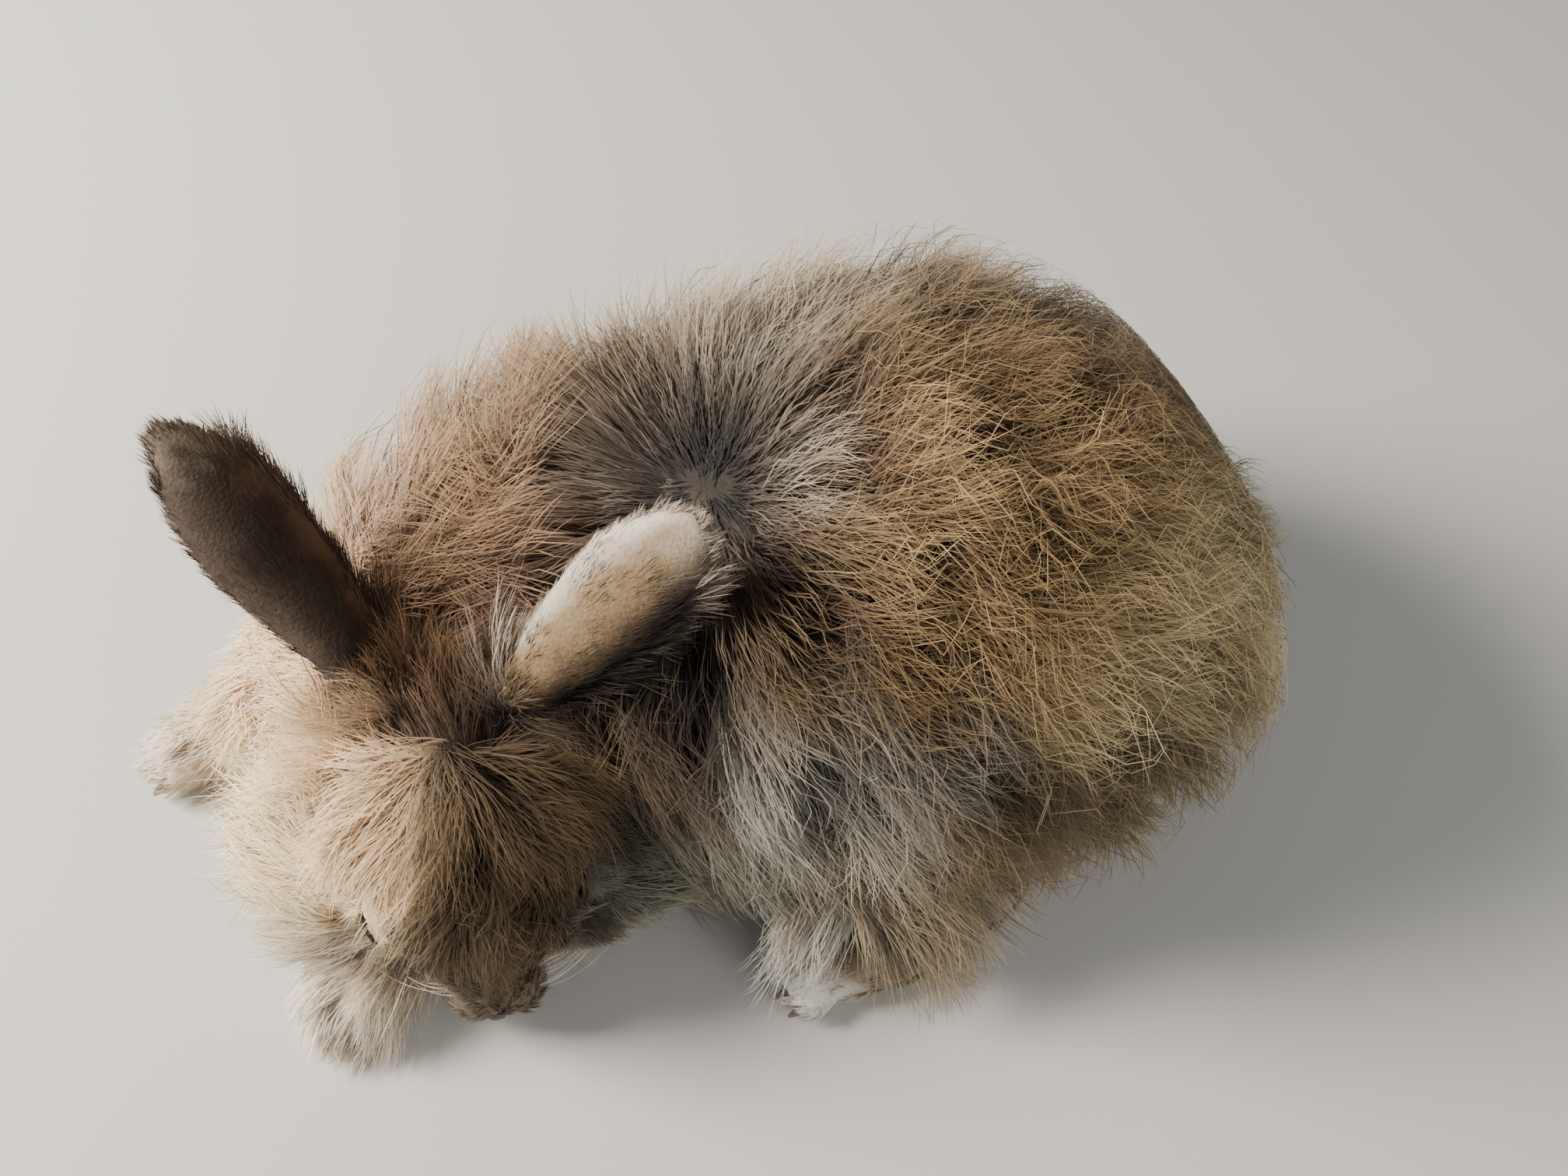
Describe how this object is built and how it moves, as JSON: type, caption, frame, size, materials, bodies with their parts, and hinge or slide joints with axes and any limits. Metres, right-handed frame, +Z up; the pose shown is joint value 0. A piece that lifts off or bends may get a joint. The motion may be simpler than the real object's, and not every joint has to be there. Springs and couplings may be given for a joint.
{
  "type": "angora rabbit model",
  "caption": "Still life-size young angora rabbit lying in a crouch with its head lowered and turned to its left, ears laid back, in a long curly agouti coat.",
  "frame": {"origin": "on the floor under the middle of the trunk, on the flat of the belly", "axes": "-Y is the way the body heads, +X is the rabbit's own left, +Z is up"},
  "size_m": [0.2246, 0.3877, 0.1627],
  "materials": {
    "coat": "long soft curly wool, golden brown over grey, cream below",
    "eye": "wet gloss",
    "nose": "soft matt skin",
    "claw": "satin horn"
  },
  "bodies": {
    "root": {"head": "coat", "neck": "coat", "trunk": "coat", "tail": "coat", "ear_left": "coat", "foreleg_left": "coat", "forepaw_left": "coat", "thigh_left": "coat", "hind_foot_left": "coat", "ear_right": "coat", "foreleg_right": "coat", "forepaw_right": "coat", "thigh_right": "coat", "hind_foot_right": "coat", "eye_left": "eye", "eye_right": "eye", "nose": "nose", "front_claw_left_1": "claw", "front_claw_left_2": "claw", "front_claw_left_3": "claw", "front_claw_left_4": "claw", "hind_claw_left_1": "claw", "hind_claw_left_2": "claw", "hind_claw_left_3": "claw", "hind_claw_left_4": "claw", "front_claw_right_1": "claw", "front_claw_right_2": "claw", "front_claw_right_3": "claw", "front_claw_right_4": "claw", "hind_claw_right_1": "claw", "hind_claw_right_2": "claw", "hind_claw_right_3": "claw", "hind_claw_right_4": "claw"}
  },
  "joints": []
}
